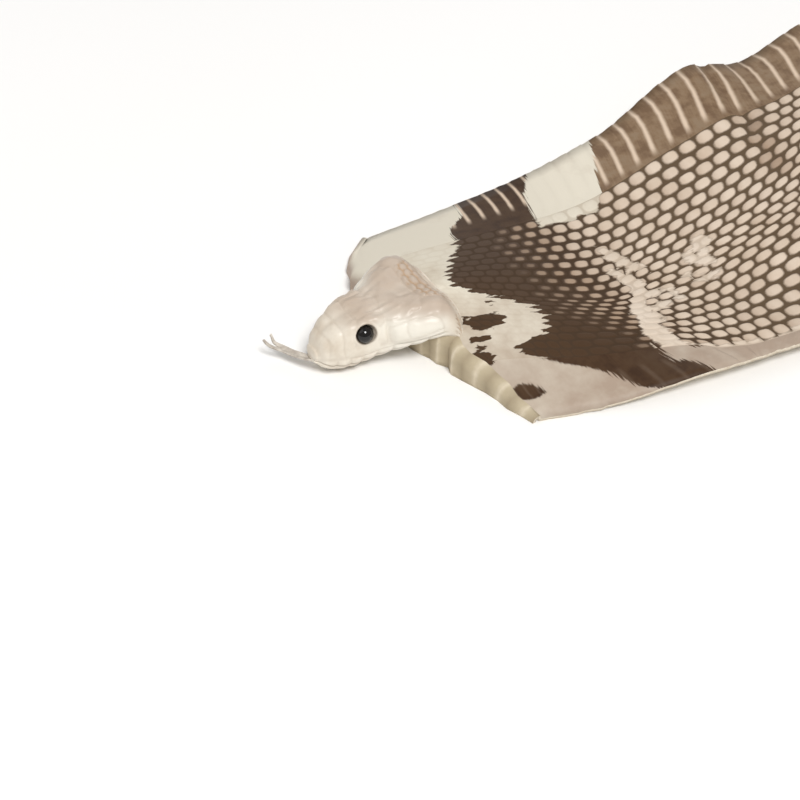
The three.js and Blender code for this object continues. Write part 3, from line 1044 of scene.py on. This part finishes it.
def frayed_edge(add, streaks, fray, depth, low, high):
    """Inside or outside a marking by its depth in millimetres, whose edge is frayed along the streaks."""
    frayed = calculate(add, "MULTIPLY_ADD", streaks, fray, depth)
    return add("MapRange", {"Value": frayed, "From Min": low, "From Max": high}, **SMOOTH)


def clouded(name, clouds, stops, roughness, strength=0):
    """A material that clouds from one tone to another, and may have a bump of the same clouds."""
    material, add, shader = new_material(name)
    cloud = add("TexNoise", {"Vector": add("TexCoord"), **clouds})
    feed(shader, {"Base Color": add("ValToRGB", {"Fac": cloud}, stops), "Roughness": roughness})
    if strength:
        feed(shader, {"Normal": add("Bump", {"Height": cloud, "Strength": strength, "Distance": 0.2 * MM})})
    return material


def cream_skin(add, coords, settings):
    """Cream skin: pinker and greyer in clouds and towards the near edge of the throat."""
    side = add("SeparateXYZ", {"Vector": coords})
    cloud = add("TexNoise", {"Vector": coords, "Scale": 70, "Detail": 4, "Roughness": 0.6})
    toward = add(
        "MapRange",
        {"Value": (side, "Y"), "From Min": -0.14, "From Max": -0.06, "To Min": -0.3, "To Max": 0.4},
    )
    share = calculate(add, "MULTIPLY_ADD", cloud, 0.9, toward)
    return add("ValToRGB", {"Fac": share}, ((0.1, settings.shaded_cream), (0.8, settings.cream)))


def tanned_scales(settings):
    """Tanned, glazed snake scales: satin pale ovals on darker matt skin, so a net of lines stands out."""
    material, add, shader = new_material("tanned_glazed_scales")
    coords, marking, cell, inside, place = hide_marks(add)
    powers = []
    for axis in ("X", "Y"):
        size = calculate(add, "ABSOLUTE", (place, axis))
        powers.append(calculate(add, "POWER", size, ROUNDNESS))
    total = calculate(add, "ADD", powers[0], powers[1])
    oval = calculate(add, "POWER", total, 1 / ROUNDNESS)
    # Outlines of scales wander by a tenth of a millimetre, drawn at one millimetre
    fine = add("TexNoise", {"Vector": coords, "Scale": 1000, "Detail": 2, "Roughness": 0.5})
    wander = calculate(add, "MULTIPLY_ADD", fine, 0.14, oval)
    spare = calculate(add, "SUBTRACT", (cell, "Red"), wander)
    spot = add("MapRange", {"Value": spare, "From Min": -0.19, "From Max": 0.12}, **SMOOTH)
    gap = add("MapRange", {"Value": oval, "From Min": 0.72, "From Max": 0.98}, **SMOOTH)
    # Ragged edges of the markings: streaks 6 mm long and 1.5 mm wide that follow the rows
    stretch = add("Mapping", {"Vector": coords, "Scale": (160, 640, 160)})
    streaks = add("TexNoise", {"Vector": stretch, "Scale": 1, "Detail": 3, "Roughness": 0.6})
    tooth = calculate(add, "ABSOLUTE", (place, "Y"))
    toothed = calculate(add, "MULTIPLY_ADD", tooth, -3.0, (inside, "X"))
    dark = frayed_edge(add, streaks, 9.0, toothed, 2.6, 3.4)
    # Each scale is pale or not mostly as a whole, so that the pale places have stepped edges
    stepped = calculate(add, "MULTIPLY_ADD", (cell, "Blue"), 3.0, (inside, "Y"))
    pale = frayed_edge(add, streaks, 4.0, stepped, 2.8, 4.2)
    cloud = add("TexNoise", {"Vector": coords, "Scale": 70, "Detail": 4, "Roughness": 0.6})
    band = add("ValToRGB", {"Fac": gap}, ((0, settings.band), (1, linear("#443221"))))
    between = blend(add, (inside, "Z"), band, settings.between)
    fade = calculate(add, "SUBTRACT", 1.0, dark)
    # The lines between cream scales are faint on the throat and clearer behind the neck band
    ink = add("MapRange", {"Value": (inside, "Z"), "From Max": 0.3, "To Min": 0.07, "To Max": 0.35})
    lines = calculate(add, "MULTIPLY", gap, ink)
    cream = cream_skin(add, coords, settings)
    creamy = blend(add, lines, cream, linear("#9C8872"))
    # The pale patch on the far side is as creamy as the plates beside it
    washed = blend(add, (marking, "Alpha"), linear("#DFD0BF"), cream)
    bleached = blend(add, lines, washed, linear("#9C8872"))
    patched = blend(add, pale, between, bleached)
    skin = blend(add, fade, patched, creamy)
    # A scale's middle: pale, with a painted shade that browns it towards its front end where the next scale
    # overlaps it
    shade = add(
        "MapRange", {"Value": (place, "X"), "From Min": 0.0, "From Max": -0.9, "To Max": 0.16}, **SMOOTH
    )
    shaded_tone = calculate(add, "ADD", shade, (cell, "Green"))
    varied = calculate(add, "MULTIPLY_ADD", (cell, "Blue"), 0.12, shaded_tone)
    centre = add(
        "ValToRGB", {"Fac": varied},
        ((0, settings.scale_centre), (0.45, linear("#AB937D")), (1, linear("#503C2B"))),
    )
    # In the pale places the middles melt into the skin
    melt = add("MapRange", {"Value": pale, "To Min": 1.0, "To Max": 0.1})
    seen = calculate(add, "MULTIPLY", spot, melt)
    pattern = blend(add, seen, skin, centre)
    tint = add("ValToRGB", {"Fac": cloud}, ((0.3, linear("#DCCFBE")), (0.65, linear("#FFFFFF"))))
    toned = blend(add, 0.35, pattern, tint, blend_type="MULTIPLY")
    rough = add("MapRange", {"Value": gap, "To Min": 0.42, "To Max": 0.65})
    bump = leather_grain(add, coords, 2, 0.3)
    feed(shader, {"Base Color": toned, "Roughness": rough, "Specular IOR Level": 0.22, "Normal": bump})
    return material


def belly_plates(settings):
    """Broad belly plates, tanned flat: satin brown with fine streaks, and a pale line at each overlap."""
    material, add, shader = new_material("tanned_belly_plates")
    coords, marking, cell, inside, place = hide_marks(add)
    # Streaks along each plate, about 1 mm wide, different on every plate
    start = calculate(add, "MULTIPLY_ADD", (cell, "Blue"), 40.0, (place, "X"))
    spread = calculate(add, "MULTIPLY", (place, "Y"), 6.0)
    flow = add("CombineXYZ", {"X": start, "Y": spread})
    streaks = add("TexNoise", {"Vector": flow, "Scale": 1.6, "Detail": 4, "Roughness": 0.6})
    cloud = add("TexNoise", {"Vector": coords, "Scale": 260, "Detail": 3, "Roughness": 0.6})
    stain = add("TexNoise", {"Vector": coords, "Scale": 150, "Detail": 3, "Roughness": 0.6})
    dark = frayed_edge(add, streaks, 8.0, (inside, "X"), 3.4, 4.4)
    pale = frayed_edge(add, streaks, 8.0, (inside, "Y"), 3.6, 4.6)
    band = blend(add, (inside, "Z"), settings.band, settings.plate)
    # Brown stain in blotches about 7 mm wide, stretched a little along the plates
    blotch = calculate(add, "MULTIPLY_ADD", streaks, 0.3, stain)
    shade = add(
        "ValToRGB", {"Fac": blotch},
        ((0.5, linear("#B69D85")), (0.68, linear("#F2E8DC")), (0.8, linear("#FFFFFF"))),
    )
    streaked = blend(add, 0.7, band, shade, blend_type="MULTIPLY")
    # The pale line is widest at the plate's inner end and thins out to the edge of the hide
    off = calculate(add, "SUBTRACT", (place, "Y"), 0.5)
    aside = calculate(add, "ABSOLUTE", off)
    width = add("MapRange", {"Value": (place, "X"), "To Min": 0.40, "To Max": 0.355})
    over = calculate(add, "SUBTRACT", aside, width)
    wander = calculate(add, "MULTIPLY_ADD", cloud, 0.07, over)
    line = add("MapRange", {"Value": wander, "From Min": -0.05, "From Max": 0.14}, **SMOOTH)
    reach = add("MapRange", {"Value": (inside, "Z"), "To Min": 0.62, "To Max": 0.88})
    past = calculate(add, "SUBTRACT", reach, (place, "X"))
    ended = add("MapRange", {"Value": past, "From Min": -0.1, "From Max": 0.1}, **SMOOTH)
    whole = calculate(add, "MULTIPLY", line, ended)
    shown = calculate(add, "MULTIPLY", whole, (cell, "Green"))
    lined = blend(add, shown, streaked, linear("#D9C3AC"))
    cream = cream_skin(add, coords, settings)
    fade = calculate(add, "SUBTRACT", 1.0, dark)
    lightness = calculate(add, "MAXIMUM", fade, pale)
    rolled = calculate(add, "MAXIMUM", lightness, (marking, "Alpha"))
    pattern = blend(add, rolled, lined, cream)
    # Where the front edge is folded down its plates lap every second row: their rims are painted lighter as
    # a painted highlight, and the rows between darker as painted shade
    laps = calculate(add, "MULTIPLY", (place, "X"), PLATE_ROWS / 2)
    crest = calculate(add, "PINGPONG", laps, 0.5)
    wear_and_sheen = calculate(add, "MULTIPLY_ADD", cloud, 0.3, crest)
    folded = add(
        "ValToRGB", {"Fac": wear_and_sheen},
        ((0.1, linear("#A09178")), (0.5, linear("#BDAF94")), (0.68, linear("#DACDB6"))),
    )
    fronted = blend(add, (marking, "Alpha"), pattern, folded)
    # Painted shade: the far half of the folded edge, low on its wall, is darkened to the grey-pink of the
    # head's crown
    shaded_far_wall = blend(add, (cell, "Red"), fronted, linear("#B5A190"))
    bump = leather_grain(add, coords, 1.5, 0.25)
    feed(shader, {"Base Color": shaded_far_wall, "Roughness": 0.48, "Specular IOR Level": 0.22, "Normal": bump})
    return material


def flesh_side(settings):
    """The flesh side of tanned leather: pale and matt, with a short fuzzy nap."""
    nap = {"Scale": 0.7 / MM, "Detail": 5, "Roughness": 0.7}
    return clouded("suede_flesh_side", nap, ((0.3, linear("#C6B8A2")), (0.7, settings.flesh)), 0.9, 0.4)


def bleached_head(settings):
    """Bleached, varnished head skin: ivory with grey-pink clouds, ochre between the beads, a soft gloss."""
    material, add, shader = new_material("bleached_head_skin")
    marks = add("Attribute", attribute_name="seam")
    seam = add("SeparateXYZ", {"Vector": (marks, "Vector")})
    coords = add("TexCoord")
    cloud = add("TexNoise", {"Vector": coords, "Scale": 110, "Detail": 4, "Roughness": 0.55})
    place = add("SeparateXYZ", {"Vector": coords})
    skin = add("ValToRGB", {"Fac": cloud}, ((0.3, linear("#C9BAA6")), (0.62, settings.skin)))
    # The cheeks behind the eyes are the whitest, partly their own bleach and partly painted light, which
    # leaves the snout darker as painted shade
    cheek = add(
        "MapRange", {"Value": (place, "X"), "From Min": -0.491, "From Max": -0.481, "To Max": 0.8},
        **SMOOTH,
    )
    nape = add(
        "MapRange", {"Value": (place, "X"), "From Min": -0.464, "From Max": -0.47, "To Max": 0.8}, **SMOOTH
    )
    whitest = calculate(add, "MINIMUM", cheek, nape)
    # The crown is greyer than the cheeks, by its height, partly its own grey-pink and partly painted shade
    # on the top, and begins higher behind the eyes
    level = calculate(add, "MULTIPLY_ADD", whitest, -0.0012, (place, "Z"))
    crown = add(
        "MapRange", {"Value": level, "From Min": 0.0155, "From Max": 0.0202, "To Max": 0.9}, **SMOOTH
    )
    lines = calculate(add, "MULTIPLY", (seam, "X"), 0.3)
    # Over the cloudy skin: whitest cheeks and grey crown, both partly painted light and shade, shield seams
    # with painted shade in the nostrils, mouth slit and cheek groove, skin between the beads, eye rims
    colour = skin
    for share, tone in (
        (whitest, linear("#EEE9DD")),
        (crown, linear("#BBA896")),
        (lines, linear("#A3907C")),
        ((seam, "Y"), settings.seam),
        ((seam, "Z"), linear("#9D8F7E")),
    ):
        colour = blend(add, share, colour, tone)
    bump = leather_grain(add, coords, 1.2, 0.3)
    feed(shader, {"Base Color": colour, "Roughness": 0.38, "Normal": bump})
    return material


def black_glass(settings):
    """Blown black glass, polished: near black with one sharp highlight."""
    depth = {"Scale": 0.3 / MM, "Detail": 2}
    return clouded("polished_black_glass", depth, ((0.4, settings.glass), (0.7, linear("#1A1512"))), 0.06)


def dried_tongue(settings):
    """Dried membrane: thin, pale grey and matt, darker in patches."""
    patches = {"Scale": 0.4 / MM, "Detail": 4, "Roughness": 0.6}
    stops = ((0.3, linear("#A79C90")), (0.7, settings.tongue))
    return clouded("dried_tongue_membrane", patches, stops, 0.6, 0.4)


def pale_floor():
    """A matt painted table top: near white, so the hide's edge reads clearly."""
    stops = ((0.3, linear("#F9F8F6")), (0.7, linear("#FCFBFA")))
    return clouded("matt_white_paint", {"Scale": 3, "Detail": 2}, stops, 0.8)


def new_object(name, data):
    item = bpy.data.objects.new(name, data)
    bpy.context.scene.collection.objects.link(item)
    return item


def finish_piece(bm, name, materials, node):
    """Turns a bmesh in millimetres into a smooth-shaded piece in metres that stands for its node."""
    bmesh.ops.scale(bm, vec=(MM, MM, MM), verts=bm.verts)
    for f in bm.faces:
        f.smooth = True
    mesh = bpy.data.meshes.new(name)
    bm.to_mesh(mesh)
    bm.free()
    piece = new_object(name, mesh)
    for material in materials:
        mesh.materials.append(material)
    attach(piece, BODY)
    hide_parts(node)


def colour_setting(name, description, colour):
    return bpy.props.FloatVectorProperty(
        name=name, description=description, default=linear(colour), size=4, min=0, max=1, subtype="COLOR"
    )


class CobraHideSettings(bpy.types.PropertyGroup):
    relief: bpy.props.FloatProperty(
        name="Scale relief", description="How far a scale stands over the skin round it",
        default=0.32 * MM, min=0, subtype="DISTANCE", unit="LENGTH",
    )
    seed: bpy.props.IntProperty(name="Seed", description="Seed of the scales' small differences", default=7)
    cream: colour_setting("Cream", "The throat and the pale places", "#DED6C5")
    shaded_cream: colour_setting("Shaded cream", "The clouds in the cream skin", "#A99685")
    scale_centre: colour_setting("Scale middle", "The pale middle of a scale", "#DDCBB8")
    between: colour_setting("Skin between", "The skin between the scales", "#5F4D39")
    band: colour_setting("Neck band", "The dark neck band", "#4A3522")
    plate: colour_setting("Belly plate", "The belly plates at the two edges", "#8A745C")
    flesh: colour_setting("Flesh side", "The suede underside", "#E2D8C6")


class CobraHeadSettings(bpy.types.PropertyGroup):
    skin: colour_setting("Head skin", "The bleached skin of the head", "#E6DDCE")
    seam: colour_setting("Bead seams", "The skin between the beads of the nape", "#B2916F")
    glass: colour_setting("Eye glass", "The glass of the eyes", "#0C0B0A")
    tongue: colour_setting("Tongue", "The dried tongue", "#D6CEC2")


class CobraStageSettings(bpy.types.PropertyGroup):
    floor_side: bpy.props.FloatProperty(
        name="Floor side", description="Side of the square floor", default=8,
        subtype="DISTANCE", unit="LENGTH",
    )
    lens: bpy.props.FloatProperty(name="Lens", description="Focal length of the camera", default=64.9)


class COBRA_OT_hide(bpy.types.Operator):
    """Make the scaled hide"""

    bl_idname = "cobra.hide"
    bl_label = "Hide"

    def execute(self, context):
        settings = context.scene.cobra_hide
        materials = [tanned_scales(settings), belly_plates(settings), flesh_side(settings)]
        finish_piece(make_hide(settings), "scaled_hide", materials, "skin")
        return {"FINISHED"}


class COBRA_OT_head(bpy.types.Operator):
    """Make the stuffed head"""

    bl_idname = "cobra.head"
    bl_label = "Head"

    def execute(self, context):
        finish_piece(make_head(), "stuffed_head", [bleached_head(context.scene.cobra_head)], "skin")
        return {"FINISHED"}


class COBRA_OT_eyes(bpy.types.Operator):
    """Make the two glass eyes"""

    bl_idname = "cobra.eyes"
    bl_label = "Eyes"

    def execute(self, context):
        glass = black_glass(context.scene.cobra_head)
        for side in ("left", "right"):
            finish_piece(make_eye(f"{side}_eye"), f"{side}_glass_eye", [glass], f"{side}_eye")
        return {"FINISHED"}


class COBRA_OT_tongue(bpy.types.Operator):
    """Make the forked tongue"""

    bl_idname = "cobra.tongue"
    bl_label = "Tongue"

    def execute(self, context):
        finish_piece(
            make_tongue(), "forked_tongue", [dried_tongue(context.scene.cobra_head)], "tongue"
        )
        return {"FINISHED"}


# The camera and what it aims at, in millimetres in the part's frame
CAMERA_PLACE = (-654.96, -386.22, 286.7)
CAMERA_AIM = (-488.56, -101.47, 0)
# Lights: place and aim in metres, disk size in metres, power in watts
LIGHTS = (
    ("key", (-0.67, -1.65, 2.34), (-0.4, -0.03, 0), 1.05, 60),
    ("fill", (-1.3, 0.3, 1.1), (-0.4, 0, 0), 1.4, 3),
    ("rear", (0.6, 1.2, 1.4), (-0.2, 0, 0), 1.4, 5),
)


def facing(place, aim):
    """The turn of a lamp or camera that looks from a place at its aim."""
    return (Vector(aim) - Vector(place)).to_track_quat("-Z", "Y").to_euler()


class COBRA_OT_stage(bpy.types.Operator):
    """Make the floor, the lights and the camera"""

    bl_idname = "cobra.stage"
    bl_label = "Stage"

    def execute(self, context):
        settings = context.scene.cobra_stage
        bm = bmesh.new()
        bmesh.ops.create_grid(bm, x_segments=1, y_segments=1, size=settings.floor_side / 2)
        mesh = bpy.data.meshes.new("floor")
        bm.to_mesh(mesh)
        bm.free()
        mesh.materials.append(pale_floor())
        new_object("floor", mesh)
        for name, place, aim, side, power in LIGHTS:
            light = bpy.data.lights.new(name, "AREA")
            light.shape = "DISK"
            light.size = side
            light.energy = power
            lamp = new_object(name, light)
            lamp.location = place
            lamp.rotation_euler = facing(place, aim)
        world = bpy.data.worlds.new("studio")
        context.scene.world = world
        world.use_nodes = True
        sky = world.node_tree.nodes["Background"]
        sky.inputs["Color"].default_value = linear("#F6F5F3")
        sky.inputs["Strength"].default_value = 0.37
        context.scene.view_settings.view_transform = "Standard"
        camera = bpy.data.cameras.new("photo_camera")
        camera.lens = settings.lens
        camera.sensor_width = 36
        camera.clip_start = 0.01
        viewer = new_object("photo_camera", camera)
        viewer.location = Vector(CAMERA_PLACE) * MM
        viewer.rotation_euler = facing(CAMERA_PLACE, CAMERA_AIM)
        context.scene.camera = viewer
        return {"FINISHED"}


class COBRA_PT_panel(bpy.types.Panel):
    """The pieces of the cobra skin"""

    bl_idname = "COBRA_PT_panel"
    bl_label = "Cobra skin"
    bl_space_type = "VIEW_3D"
    bl_region_type = "UI"
    bl_category = "Cobra skin"

    def draw(self, context):
        for group, kind in SETTINGS.items():
            for name in kind.__annotations__:
                self.layout.prop(getattr(context.scene, group), name)
        for operator in PIECES:
            self.layout.operator(operator.bl_idname)


PIECES = (COBRA_OT_stage, COBRA_OT_hide, COBRA_OT_head, COBRA_OT_eyes, COBRA_OT_tongue)
SETTINGS = {
    "cobra_hide": CobraHideSettings,
    "cobra_head": CobraHeadSettings,
    "cobra_stage": CobraStageSettings,
}
CLASSES = (*SETTINGS.values(), *PIECES, COBRA_PT_panel)


def register():
    for item in CLASSES:
        bpy.utils.register_class(item)
    for group, kind in SETTINGS.items():
        setattr(bpy.types.Scene, group, bpy.props.PointerProperty(type=kind))


def unregister():
    for group in SETTINGS:
        delattr(bpy.types.Scene, group)
    for item in reversed(CLASSES):
        bpy.utils.unregister_class(item)


def main():
    register()
    bpy.ops.cobra.stage()
    bpy.ops.cobra.hide()
    bpy.ops.cobra.head()
    bpy.ops.cobra.eyes()
    bpy.ops.cobra.tongue()


if __name__ == "__main__":
    main()
